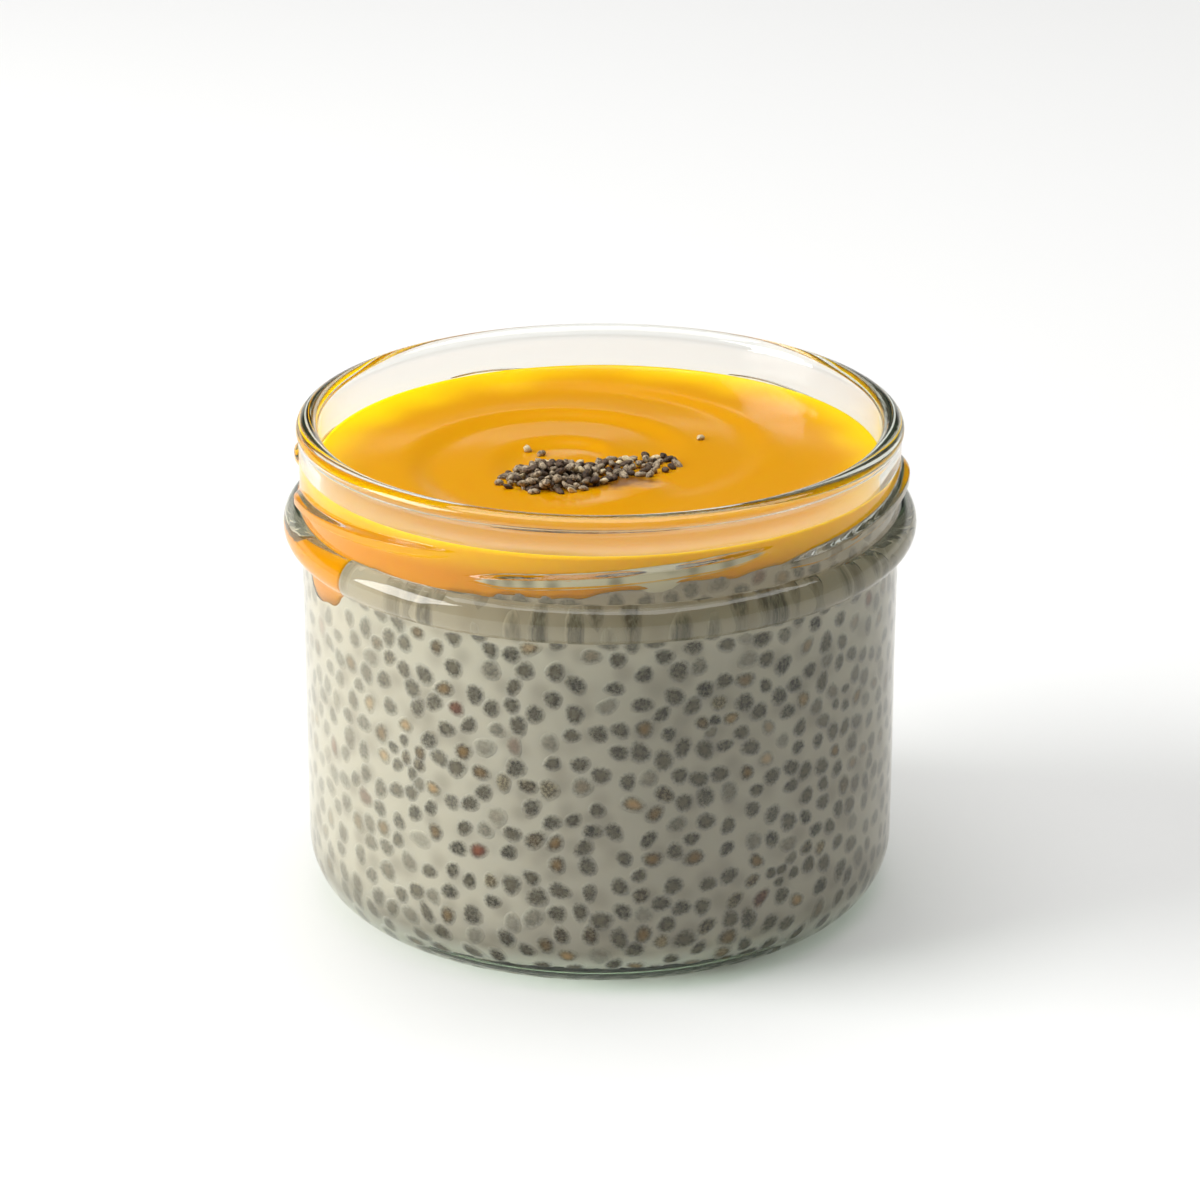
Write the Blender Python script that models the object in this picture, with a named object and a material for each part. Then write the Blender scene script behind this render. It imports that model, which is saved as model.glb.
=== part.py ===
"""Chia pudding in a small glass jar, under mango puree with a pinch of dry chia seeds on top.

Metres, +Z up. The origin is the middle of the base, on the surface that the jar stands on. The
front, where the mango hangs lowest at the left, faces -Y.
"""

import math
import random

import bmesh
import bpy
from mathutils import Euler, Vector

MM = 0.001

# Jar, outside: a low straight-sided tumbler for an 82 mm twist-off lid.
JAR_SIDES = 64
BODY_RADIUS = 38.65 * MM
NECK_RADIUS = 38.8 * MM
RING_RADIUS = 41.0 * MM
RING_ROUND = 2.6 * MM
RING_HEIGHT = 50.6 * MM
HEEL_WIDTH = 6.0 * MM
HEEL_HEIGHT = 7.2 * MM
FOOT_INNER_RADIUS = 31.2 * MM
BASE_HOLLOW = 1.6 * MM
RIM_RADIUS = 39.1 * MM
RIM_TOP = 64.25 * MM
RIM_ROUND = 1.1 * MM
LEDGE_HEIGHT = 62.5 * MM

# Jar, inside.
BORE_RADIUS = 36.2 * MM
FLOOR_HEIGHT = 4.2 * MM
FLOOR_CROWN = 0.5 * MM
FLOOR_CORNER = 5.5 * MM

# Thread: six lugs that rise to the right, seen from outside. Azimuths run from the front, -Y,
# towards +X.
LUG_COUNT = 6
LUG_START = -26.0
LUG_END = 33.0
LUG_START_TAPER = 10.0
LUG_END_TAPER = 12.0
LUG_START_HEIGHT = 55.2 * MM
LUG_END_HEIGHT = 58.1 * MM
LUG_HALF_HEIGHT = 1.05 * MM
LUG_DEPTH = 1.25 * MM
LUG_ROOT_RADIUS = 37.4 * MM
LUG_STATIONS = 11

# Food. Each filling keeps a small gap to the glass and to the other.
FOOD_SIDES = 48
GAP = 0.32 * MM
FOOD_RADIUS = BORE_RADIUS - GAP
MANGO_LEVEL = 56.9 * MM
MANGO_BOWL = 1.0 * MM
MENISCUS = 0.8 * MM
MENISCUS_WIDTH = 3.2 * MM

# Seam between mango and pudding. It rises to the right, and at the left the mango ran down the
# glass in a broad lobe with a blunt drip in it, each given by its two ends and their taper.
SEAM_LEVEL = 54.0 * MM
SEAM_SLANT = 2.5 * MM
LOBE = (-116.0, -52.0, 12.0)
DRIP = (-79.0, -54.0, 7.0)
LOBE_DEPTH = 3.7 * MM

# Swirl that the back of a spoon leaves in the mango: a spiral of two arms, deepest at the back,
# and at the front the low ridge where the spoon was drawn out.
SWIRL_CENTRE = Vector((-1.5 * MM, 3.5 * MM))
SWIRL_ARMS = 2
SWIRL_PITCH = 11.0 * MM
SWIRL_DEPTH = 0.24 * MM
SWIRL_TURN = math.radians(82)
SWIRL_DEEPEST = math.radians(110)
FOLD_START = Vector((7.6 * MM, -8.0 * MM))
FOLD_END = Vector((-4.3 * MM, -18.6 * MM))
FOLD_BOW = 0.8 * MM
FOLD_HEIGHT = 0.45 * MM
FOLD_BACK = 9.0 * MM
FOLD_FRONT = 6.0 * MM

# Heap of dry seeds: a thick oval pile and a thin tail that runs off to the back right.
SEED_LENGTH = 1.9 * MM
SEED_WIDTH = 1.25 * MM
SEED_THICKNESS = 1.05 * MM
PILE_CENTRE = Vector((-5.7 * MM, -4.8 * MM))
PILE_REACH = Vector((8.0 * MM, 5.6 * MM))
PILE_TURN = math.radians(12)
PILE_HEIGHT = 2.0 * MM
TAIL_CENTRE = Vector((3.8 * MM, -0.7 * MM))
TAIL_REACH = Vector((7.2 * MM, 4.4 * MM))
TAIL_TURN = math.radians(24)
LONE_SEED = Vector((13.2 * MM, 10.2 * MM))
PILE_SEEDS = 66
TAIL_SEEDS = 28
DRAW = 7


def clear_scene():
    for thing in list(bpy.data.objects):
        bpy.data.objects.remove(thing, do_unlink=True)


def finish_of(name, colour, roughness, transmission=0.0):
    """A Principled material with the piece's own colour."""
    material = bpy.data.materials.new(name)
    material.use_nodes = True
    shader = material.node_tree.nodes["Principled BSDF"]
    shader.inputs["Base Color"].default_value = (*colour, 1.0)
    shader.inputs["Roughness"].default_value = roughness
    shader.inputs["Metallic"].default_value = 0.0
    shader.inputs["Transmission Weight"].default_value = transmission
    material.diffuse_color = (*colour, 1.0)
    return material


def ease(share):
    """0 to 1, level at both ends."""
    share = min(max(share, 0.0), 1.0)
    return share * share * (3 - 2 * share)


def azimuth_of(x, y):
    """Degrees from the front, -Y, towards +X."""
    return math.degrees(math.atan2(x, -y))


def at_azimuth(radius, azimuth, height):
    angle = math.radians(azimuth)
    return Vector((radius * math.sin(angle), -radius * math.cos(angle), height))


def arc(centre, reach, start, end, steps):
    """Points (radius, height) on an oval arc; angles in degrees, from outwards towards up."""
    angles = [math.radians(start + (end - start) * step / steps) for step in range(steps + 1)]
    return [
        (centre[0] + reach[0] * math.cos(angle), centre[1] + reach[1] * math.sin(angle))
        for angle in angles
    ]


def add_object(name, shape, material):
    """Turns a bmesh into a smooth-shaded object with its faces pointing out."""
    bmesh.ops.recalc_face_normals(shape, faces=shape.faces)
    mesh = bpy.data.meshes.new(name)
    shape.to_mesh(mesh)
    shape.free()
    mesh.shade_smooth()
    mesh.set_sharp_from_angle(angle=math.radians(40))
    mesh.materials.append(material)
    thing = bpy.data.objects.new(name, mesh)
    bpy.context.scene.collection.objects.link(thing)
    return thing


def turned(outline, sides):
    """A solid turned about Z from an outline that starts and ends on the axis."""
    shape = bmesh.new()
    points = [shape.verts.new((radius, 0, height)) for radius, height in outline]
    edges = [shape.edges.new(pair) for pair in zip(points, points[1:])]
    bmesh.ops.spin(
        shape,
        geom=points + edges,
        cent=(0, 0, 0),
        axis=(0, 0, 1),
        angle=math.tau,
        steps=sides,
        use_merge=True,
    )
    bmesh.ops.remove_doubles(shape, verts=shape.verts, dist=0.001 * MM)
    return shape


def jar_outline():
    """Half section of the jar: under the base, up the outside, over the rim, down the inside."""
    foot_outer = BODY_RADIUS - HEEL_WIDTH
    ring_middle = RING_RADIUS - RING_ROUND
    ring_low = -math.degrees(math.acos((BODY_RADIUS - ring_middle) / RING_ROUND))
    ring_high = math.degrees(math.acos((NECK_RADIUS - ring_middle) / RING_ROUND))
    rim_half = (RIM_RADIUS - BORE_RADIUS) / 2
    rim_middle = (BORE_RADIUS + rim_half, RIM_TOP - RIM_ROUND)
    corner = (BORE_RADIUS - FLOOR_CORNER, FLOOR_HEIGHT + FLOOR_CORNER)
    outline = [
        (FOOT_INNER_RADIUS * share, BASE_HOLLOW * (1 - share**2)) for share in (0, 0.5, 0.8, 1)
    ]
    outline += arc((foot_outer, HEEL_HEIGHT), (HEEL_WIDTH, HEEL_HEIGHT), -90, 0, 5)
    outline += arc((ring_middle, RING_HEIGHT), (RING_ROUND, RING_ROUND), ring_low, ring_high, 8)
    outline.append((NECK_RADIUS, LEDGE_HEIGHT))
    outline += arc(rim_middle, (rim_half, RIM_ROUND), -20, 180, 8)
    outline += arc(corner, (FLOOR_CORNER, FLOOR_CORNER), 0, -90, 4)
    outline.append((0, FLOOR_HEIGHT + FLOOR_CROWN))
    return outline


def lug_section(azimuth, first):
    """One cross-section of a lug, a half oval on a root that is sunk in the neck."""
    along = (azimuth - first - LUG_START) / (LUG_END - LUG_START)
    from_start = (azimuth - first - LUG_START) / LUG_START_TAPER
    from_end = (first + LUG_END - azimuth) / LUG_END_TAPER
    fullness = ease(from_start) * math.sqrt(ease(from_end))
    height = LUG_START_HEIGHT + (LUG_END_HEIGHT - LUG_START_HEIGHT) * along
    half = LUG_HALF_HEIGHT * (0.25 + 0.75 * fullness)
    reach = NECK_RADIUS - LUG_ROOT_RADIUS + LUG_DEPTH * (1.12 * fullness - 0.12)
    oval = arc((LUG_ROOT_RADIUS, height), (reach, half), -90, 90, 6)
    return [at_azimuth(radius, azimuth, z) for radius, z in oval]


def lug(first):
    """A tapered bar along the neck, skinned over its cross-sections."""
    shape = bmesh.new()
    rows = []
    for station in range(LUG_STATIONS):
        share = station / (LUG_STATIONS - 1)
        azimuth = first + LUG_START + (LUG_END - LUG_START) * share
        rows.append([shape.verts.new(point) for point in lug_section(azimuth, first)])
    for one, two in zip(rows, rows[1:]):
        for corner in range(len(one)):
            following = (corner + 1) % len(one)
            shape.faces.new((one[corner], one[following], two[following], two[corner]))
    shape.faces.new(rows[0])
    shape.faces.new(rows[-1])
    return shape


def largest_shell(mesh):
    """Keeps the mesh's main body and drops loose scraps and the walls of sealed hollows."""
    shape = bmesh.new()
    shape.from_mesh(mesh)
    unseen = set(shape.verts)
    shells = []
    while unseen:
        shell = {unseen.pop()}
        edge_of_shell = list(shell)
        while edge_of_shell:
            vertex = edge_of_shell.pop()
            for edge in vertex.link_edges:
                other = edge.other_vert(vertex)
                if other in unseen:
                    unseen.remove(other)
                    shell.add(other)
                    edge_of_shell.append(other)
        shells.append(shell)
    main = max(shells, key=len)
    scraps = [vertex for shell in shells if shell is not main for vertex in shell]
    bmesh.ops.delete(shape, geom=scraps, context="VERTS")
    shape.to_mesh(mesh)
    shape.free()


def fuse(body, pieces):
    """Joins the pieces to the body with one Boolean union, then removes them."""
    group = bpy.data.collections.new(body.name + "_pieces")
    bpy.context.scene.collection.children.link(group)
    for piece in pieces:
        bpy.context.scene.collection.objects.unlink(piece)
        group.objects.link(piece)
    union = body.modifiers.new("Union", "BOOLEAN")
    union.operation = "UNION"
    union.operand_type = "COLLECTION"
    union.collection = group
    union.solver = "EXACT"
    bpy.context.view_layer.objects.active = body
    bpy.ops.object.modifier_apply(modifier=union.name)
    for piece in pieces:
        bpy.data.objects.remove(piece, do_unlink=True)
    bpy.data.collections.remove(group)
    largest_shell(body.data)


def build_jar():
    glass = finish_of("pressed soda-lime glass", (0.86, 0.92, 0.88), 0.03, transmission=1.0)
    jar = add_object("glass_jar", turned(jar_outline(), JAR_SIDES), glass)
    pitch = 360 / LUG_COUNT
    lugs = [add_object(f"lug_{n}", lug(pitch * n), glass) for n in range(LUG_COUNT)]
    fuse(jar, lugs)
    return jar


def plateau(azimuth, first, last, taper):
    """1 between two azimuths and 0 outside them, with tapered ends."""
    return ease((azimuth - first) / taper) * ease((last - azimuth) / taper)


def seam_height(x, y):
    """Height of the seam where the mango lies on the pudding, uneven as it was spooned in."""
    azimuth = azimuth_of(x, y)
    turn = math.radians(azimuth)
    wave = 0.3 * math.sin(5 * turn + 0.5) + 0.25 * math.sin(11 * turn - 0.7)
    lobe = plateau(azimuth, *LOBE) + plateau(azimuth, *DRIP)
    near_wall = ease(math.hypot(x, y) / FOOD_RADIUS)
    uneven = SEAM_SLANT * math.sin(turn) + wave * MM - LOBE_DEPTH * lobe
    return SEAM_LEVEL + near_wall * uneven


def fold_height(x, y):
    """Low ridge along a slightly bowed line: a long slope behind it and a short one before it."""
    line = FOLD_END - FOLD_START
    away = Vector((x, y)) - FOLD_START
    along = away.dot(line) / line.length_squared
    bow = 4 * FOLD_BOW * along * (1 - along)
    across = away.dot(Vector((-line.y, line.x))) / line.length - bow
    rise = ease(1 + across / FOLD_BACK)
    fall = min(max(1 - across / FOLD_FRONT, 0.0), 1.0) ** 1.5
    ends = ease((along + 0.2) / 0.4) * ease((1.3 - along) / 0.5)
    return FOLD_HEIGHT * rise * fall * ends


def swirl_height(x, y):
    """Height of the mango's face: a shallow bowl with furrows, a fold and a rim on the glass."""
    radius = math.hypot(x, y)
    bowl = MANGO_BOWL * (radius / FOOD_RADIUS) ** 2
    arm = Vector((x, y)) - SWIRL_CENTRE
    turn = math.atan2(arm.y, arm.x)
    phase = math.tau * arm.length / SWIRL_PITCH - SWIRL_ARMS * turn - SWIRL_TURN
    furrow = math.cos(phase + 0.5 * math.cos(phase))
    depth = SWIRL_DEPTH * (0.55 + 0.45 * math.cos(turn - SWIRL_DEEPEST))
    inside = ease((FOOD_RADIUS - radius) / (0.3 * FOOD_RADIUS))
    fade = inside * ease(arm.length / (0.4 * SWIRL_PITCH))
    meniscus = MENISCUS * math.exp((radius - FOOD_RADIUS) / MENISCUS_WIDTH)
    relief = depth * furrow * fade + inside * fold_height(x, y)
    return MANGO_LEVEL + bowl + meniscus + relief


def oval_share(point, centre, reach, turn):
    """0 at the middle of a turned oval and 1 on its edge."""
    away = point - centre
    along = away.x * math.cos(turn) + away.y * math.sin(turn)
    across = away.y * math.cos(turn) - away.x * math.sin(turn)
    return math.hypot(along / reach.x, across / reach.y)


def heap_height(point):
    """Height of the packed seeds under the ones that show."""
    pile = max(0.0, 1 - oval_share(point, PILE_CENTRE, PILE_REACH, PILE_TURN) ** 2)
    tail = max(0.0, 1 - oval_share(point, TAIL_CENTRE, TAIL_REACH, TAIL_TURN) ** 2)
    return PILE_HEIGHT * max(pile**0.7, 0.15 * tail)


def seed_places():
    """Where the dry seeds lie, as (x, y) pairs that keep about a seed's width apart."""
    draw = random.Random(DRAW)
    areas = (
        (PILE_CENTRE, PILE_REACH, PILE_TURN, PILE_SEEDS, SEED_WIDTH),
        (TAIL_CENTRE, TAIL_REACH, TAIL_TURN, TAIL_SEEDS, SEED_LENGTH),
    )
    places = [LONE_SEED]
    for centre, reach, turn, count, spacing in areas:
        wanted = len(places) + count
        for _ in range(40 * count):
            share = math.sqrt(draw.random())
            angle = draw.uniform(0, math.tau)
            along = reach.x * share * math.cos(angle)
            across = reach.y * share * math.sin(angle)
            offset = Vector((along, across))
            offset.rotate(Euler((0, 0, turn)).to_matrix().to_2x2())
            place = centre + offset
            if len(places) < wanted and all((place - other).length > spacing for other in places):
                places.append(place)
    return places


def build_seed(number, place, draw, material):
    """One dry seed, an oval with a blunt and a narrow end, lying where it was dropped."""
    shape = bmesh.new()
    bmesh.ops.create_uvsphere(shape, u_segments=6, v_segments=4, radius=0.5)
    for vertex in shape.verts:
        narrow = 1 - 0.25 * vertex.co.z
        vertex.co = (
            vertex.co.z * SEED_LENGTH,
            vertex.co.x * SEED_WIDTH * narrow,
            vertex.co.y * SEED_THICKNESS * narrow,
        )
    height = swirl_height(*place) + heap_height(place) + 0.2 * SEED_THICKNESS
    tilt = Euler((draw.uniform(-0.5, 0.5), draw.uniform(-0.4, 0.4), draw.uniform(0, math.tau)))
    seed = add_object(f"seed_{number}", shape, material)
    seed.location = (*place, height)
    seed.rotation_euler = tilt
    return seed


def build_pudding():
    """Chia seeds set in plant milk, from the jar's floor to the seam."""
    gel = finish_of("chia pudding", (0.42, 0.40, 0.34), 0.35)
    corner = (BORE_RADIUS - FLOOR_CORNER, FLOOR_HEIGHT + FLOOR_CORNER)
    reach = FLOOR_CORNER - GAP
    outline = [(0, FLOOR_HEIGHT + FLOOR_CROWN + GAP)]
    outline += arc(corner, (reach, reach), -90, 0, 4)
    top = [FOOD_RADIUS * share for share in (1, 0.8, 0.55, 0.25, 0)]
    outline += [(radius, SEAM_LEVEL) for radius in top]
    shape = turned(outline, FOOD_SIDES)
    for vertex in shape.verts:
        if vertex.co.z > SEAM_LEVEL - MM:
            vertex.co.z = seam_height(vertex.co.x, vertex.co.y) - GAP
    return add_object("chia_pudding", shape, gel)


def build_mango():
    """Mango puree from the seam to its swirled face, with the dry seeds fused on."""
    puree = finish_of("mango puree", (0.83, 0.38, 0.01), 0.25)
    inner = [FOOD_RADIUS * share for share in (0, 0.25, 0.55, 0.8)]
    outer = [FOOD_RADIUS * share / 11 for share in range(11, -1, -1)]
    outline = [(radius, SEAM_LEVEL) for radius in inner + [FOOD_RADIUS]]
    outline += [(radius, MANGO_LEVEL) for radius in outer]
    shape = turned(outline, FOOD_SIDES)
    for vertex in shape.verts:
        x, y, z = vertex.co
        on_face = z > (MANGO_LEVEL + SEAM_LEVEL) / 2
        if on_face:
            vertex.co.z = swirl_height(x, y) + heap_height(Vector((x, y)))
        else:
            vertex.co.z = seam_height(x, y)
    mango = add_object("mango_puree", shape, puree)
    draw = random.Random(DRAW)
    seeds = [build_seed(n, place, draw, puree) for n, place in enumerate(seed_places())]
    fuse(mango, seeds)
    return mango


def main():
    clear_scene()
    build_jar()
    build_pudding()
    build_mango()


main()
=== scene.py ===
# %% [markdown]
# # Chia pudding under mango puree, in a glass jar
# The real thing is a small jar of pressed glass, filled with chia seeds that have set in plant
# milk, a spooned layer of mango puree and a pinch of dry seeds. A jar can be built as one turned
# outline and the food as solids inside it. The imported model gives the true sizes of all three, so
# every piece below is made around it, in metres.

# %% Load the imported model
import math

import bpy
import numpy as np
from mathutils import Euler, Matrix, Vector


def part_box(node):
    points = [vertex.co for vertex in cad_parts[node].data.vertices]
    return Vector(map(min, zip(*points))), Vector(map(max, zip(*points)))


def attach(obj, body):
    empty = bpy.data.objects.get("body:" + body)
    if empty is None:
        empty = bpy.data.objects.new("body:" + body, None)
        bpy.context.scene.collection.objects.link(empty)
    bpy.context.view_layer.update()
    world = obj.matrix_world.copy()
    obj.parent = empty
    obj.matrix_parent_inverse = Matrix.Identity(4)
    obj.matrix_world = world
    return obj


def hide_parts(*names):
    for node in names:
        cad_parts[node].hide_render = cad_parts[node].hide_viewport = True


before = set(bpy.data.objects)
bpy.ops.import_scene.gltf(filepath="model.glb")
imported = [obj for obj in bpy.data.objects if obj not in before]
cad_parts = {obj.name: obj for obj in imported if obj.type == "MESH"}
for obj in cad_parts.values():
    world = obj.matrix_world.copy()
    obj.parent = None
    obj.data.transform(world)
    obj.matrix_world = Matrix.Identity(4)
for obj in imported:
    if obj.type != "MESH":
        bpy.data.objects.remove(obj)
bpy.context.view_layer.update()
print("nodes:", sorted(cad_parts))

# %% [markdown]
# ## Sizes
# A turned jar is a handful of radii and heights. The widest radius and the rim's height are read
# from the model's own box, and the rest are the jar's real sizes in millimetres. Reading what can
# be read keeps the fine skin and the plain solid the same size.

# %% Read the jar's sizes
MM = 0.001
_, jar_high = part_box("glass_jar")
RING_RADIUS = jar_high.x
RIM_TOP = jar_high.z

BODY_RADIUS = 38.65 * MM
NECK_RADIUS = 38.8 * MM
RING_ROUND = 2.6 * MM
RING_HEIGHT = 50.6 * MM
BODY_TOP = 47.0 * MM
HEEL_WIDTH = 6.0 * MM
HEEL_HEIGHT = 7.2 * MM
FOOT_INNER_RADIUS = 31.2 * MM
BASE_HOLLOW = 1.6 * MM
RIM_RADIUS = 39.1 * MM
RIM_ROUND = 1.1 * MM
THREAD_TOP = 60.6 * MM
LEDGE_HEIGHT = 62.5 * MM

BORE_RADIUS = 36.2 * MM
FLOOR_HEIGHT = 4.2 * MM
FLOOR_CROWN = 0.5 * MM
FLOOR_CORNER = 5.5 * MM
print(f"jar {2000 * RING_RADIUS:.1f} mm wide, {1000 * RIM_TOP:.1f} mm tall")

# %% [markdown]
# ## Camera
# The camera stands a little over half a metre away and looks down at 22 degrees. Its lens and the
# small upward shift give the picture's framing, so that the jar sits just below the middle.

# %% Place the camera
CAMERA_PITCH = math.radians(22.13)
CAMERA_DISTANCE = 0.5634
CAMERA_TARGET = Vector((0, 0, 32 * MM))
LENS = 128.6
SENSOR = 36.0
FRAMING_SHIFT = 0.0385

camera_data = bpy.data.cameras.new("camera")
camera_data.lens = LENS
camera_data.sensor_width = SENSOR
camera_data.shift_y = FRAMING_SHIFT
camera = bpy.data.objects.new("camera", camera_data)
camera_arm = Vector((0, -math.cos(CAMERA_PITCH), math.sin(CAMERA_PITCH)))
camera.location = CAMERA_TARGET + CAMERA_DISTANCE * camera_arm
camera.rotation_euler = (math.pi / 2 - CAMERA_PITCH, 0, 0)
bpy.context.scene.collection.objects.link(camera)
bpy.context.scene.camera = camera
print("camera at", [round(1000 * value) for value in camera.location], "mm")

# %% [markdown]
# ## Helpers for meshes
# A turned piece can be spun with an operator, but a grid of points that runs round the axis is
# just as short and lets each point move for lugs, seams and swirls. Azimuths run in degrees from
# the front, -Y, towards +X.

# %% Turn a grid of points into a closed skin
def ease(share):
    """0 to 1, level at both ends."""
    share = np.clip(share, 0.0, 1.0)
    return share * share * (3 - 2 * share)


def arc(centre, reach, start, end, steps):
    """Points (radius, height) on an oval arc; angles in degrees, from outwards towards up."""
    angles = np.radians(np.linspace(start, end, steps + 1))
    radii = centre[0] + reach[0] * np.cos(angles)
    heights = centre[1] + reach[1] * np.sin(angles)
    return list(zip(radii, heights))


def round_grid(radii, heights, columns):
    """Rows of points round Z, from arrays of radius and height that may vary with azimuth."""
    turn = np.radians(np.arange(columns) * 360 / columns)
    radii = np.broadcast_to(radii, (len(radii), columns))
    heights = np.broadcast_to(heights, (len(heights), columns))
    return np.stack([radii * np.sin(turn), -radii * np.cos(turn), heights], axis=2)


def mesh_object(name, points, faces, material):
    """A smooth-shaded object from points and faces."""
    mesh = bpy.data.meshes.new(name)
    mesh.from_pydata(points, [], faces)
    mesh.shade_smooth()
    mesh.materials.append(material)
    piece = bpy.data.objects.new(name, mesh)
    bpy.context.scene.collection.objects.link(piece)
    return piece


def shell_faces(rows, columns):
    """Faces of a closed shell: rows of points round an axis, then a pole for each end."""
    here = np.arange(columns)
    after = (here + 1) % columns
    row = columns * np.arange(rows - 1)[:, None]
    quads = np.stack([row + here, row + after, row + columns + after, row + columns + here], axis=2)
    last = columns * (rows - 1)
    pole = np.full(columns, rows * columns)
    faces = quads.reshape(-1, 4).tolist()
    faces += np.stack([pole, after, here], axis=1).tolist()
    faces += np.stack([pole + 1, last + here, last + after], axis=1).tolist()
    return faces


def skin(name, grid, first_pole, last_pole, material):
    """A closed skin over a round grid, with a point on the axis at each end."""
    points = np.vstack([grid.reshape(-1, 3), [first_pole, last_pole]])
    return mesh_object(name, points.tolist(), shell_faces(*grid.shape[:2]), material)


print("mesh helpers ready")

# %% [markdown]
# ## Helpers for materials
# Colours are written as sRGB hex values, as a paint chart gives them, and one function turns them
# to the linear values that a shader works in. One small function adds a node with its settings
# and links, which keeps each finish readable from top to bottom. Two settings come up often: a
# range that eases in and out, and a mix of colours, whose result is output 2.

# %% Colour and node helpers
SMOOTH = {"interpolation_type": "SMOOTHSTEP"}
IN_COLOUR = {"data_type": "RGBA"}


def linear(code):
    """Linear red, green, blue and alpha from an sRGB hex value such as "f0a500"."""
    channels = [int(code[start : start + 2], 16) / 255 for start in (0, 2, 4)]
    return (*[c / 12.92 if c <= 0.04045 else ((c + 0.055) / 1.055) ** 2.4 for c in channels], 1.0)


def node(tree, kind, inputs=(), **settings):
    """Adds a node. An input is a value, an output, or a node, which gives its first output."""
    made = tree.nodes.new("ShaderNode" + kind)
    for setting, value in settings.items():
        setattr(made, setting, value)
    for socket, value in dict(inputs).items():
        if isinstance(value, bpy.types.Node):
            value = value.outputs[0]
        if isinstance(value, bpy.types.NodeSocket):
            tree.links.new(value, made.inputs[socket])
        else:
            made.inputs[socket].default_value = value
    return made


def new_finish(name):
    """An empty material and its node tree."""
    material = bpy.data.materials.new(name)
    material.use_nodes = True
    material.node_tree.nodes.clear()
    return material, material.node_tree


print("material helpers ready")

# %% [markdown]
# ## Glass
# The jar is soda-lime container glass, pressed and blown in a mould: clear, smooth and fire
# polished, with a green cast that shows only where light crosses centimetres of it, as in the
# thick base. That cast is real absorption in the volume, and the surface takes only a trace of
# the light. Light has to reach the food through the wall, so shadow rays pass straight through
# instead of bending.

# %% Make the glass finish
GLASS_IOR = 1.52
GLASS_CAST = linear("9fd6a8")
GLASS_CAST_DENSITY = 11.0
GLASS_HAZE = linear("fbfaf8")
GLASS_SHADOW = linear("f1f7f2")

glass, tree = new_finish("soda-lime glass, pressed and fire polished")
clear = node(tree, "BsdfGlass", {"Color": GLASS_HAZE, "Roughness": 0.0, "IOR": GLASS_IOR})
passing = node(tree, "BsdfTransparent", {"Color": GLASS_SHADOW})
path = node(tree, "LightPath")
surface = node(tree, "MixShader", {0: path.outputs["Is Shadow Ray"], 1: clear, 2: passing})
cast = node(tree, "VolumeAbsorption", {"Color": GLASS_CAST, "Density": GLASS_CAST_DENSITY})
node(tree, "OutputMaterial", {"Surface": surface, "Volume": cast})
print("glass IOR", GLASS_IOR)

# %% [markdown]
# ## Thread lugs
# Six tapered lugs run round the neck and carry a twist-off lid. They could be swept bars joined
# to the neck, but raising the neck's own skin gives them the soft feet that moulded glass has.

# %% Work out the relief of the lugs
LUG_COUNT = 6
LUG_START = -26.0
LUG_END = 33.0
LUG_START_TAPER = 10.0
LUG_END_TAPER = 12.0
LUG_START_HEIGHT = 55.2 * MM
LUG_END_HEIGHT = 58.1 * MM
LUG_HALF_HEIGHT = 1.05 * MM
LUG_DEPTH = 1.25 * MM
LUG_THINNEST = 0.35

# The rest is in half heights: the upper edge with its short shelf, and the lower with its slope.
LUG_UPPER = 0.95
LUG_SHELF = 0.4
LUG_LOWER = -1.15
LUG_SLOPE = 0.9


def lug_relief(azimuths, heights):
    """How far the lugs stand out of the neck at each azimuth and height."""
    relief = np.zeros(np.broadcast(azimuths, heights).shape)
    for number in range(LUG_COUNT):
        away = (azimuths - 360 * number / LUG_COUNT + 180) % 360 - 180
        fullness = ease((away - LUG_START) / LUG_START_TAPER)
        fullness = fullness * np.sqrt(ease((LUG_END - away) / LUG_END_TAPER))
        along = (away - LUG_START) / (LUG_END - LUG_START)
        middle = LUG_START_HEIGHT + (LUG_END_HEIGHT - LUG_START_HEIGHT) * along
        half = LUG_HALF_HEIGHT * (LUG_THINNEST + (1 - LUG_THINNEST) * fullness)
        above = (heights - middle) / half
        shape = ease((LUG_UPPER - above) / LUG_SHELF) * ease((above - LUG_LOWER) / LUG_SLOPE)
        relief = np.maximum(relief, LUG_DEPTH * fullness * shape)
    return relief


print("lug pitch", 360 / LUG_COUNT, "degrees")

# %% [markdown]
# ## Jar
# One outline runs under the base, up the outside, over the rim and down the inside, and is turned
# in fine steps so that the highlights stay smooth. The mould leaves two faint marks that a jar
# always shows: an upright seam on each side and a level line under the bead ring. Its walls are
# also never quite flat, which is what makes reflections in a jar waver.

# %% Build the jar
JAR_COLUMNS = 384
SEAM_AZIMUTH = -13.0
SEAM_RELIEF = 0.035 * MM
MOULD_LINE_HEIGHT = 43.6 * MM
MOULD_LINE_HALF_WIDTH = 0.46 * MM
MOULD_LINE_RELIEF = 0.05 * MM
WALL_WAVER = 0.02 * MM
WAVER_RISES = (7 * MM, 11 * MM)


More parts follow.
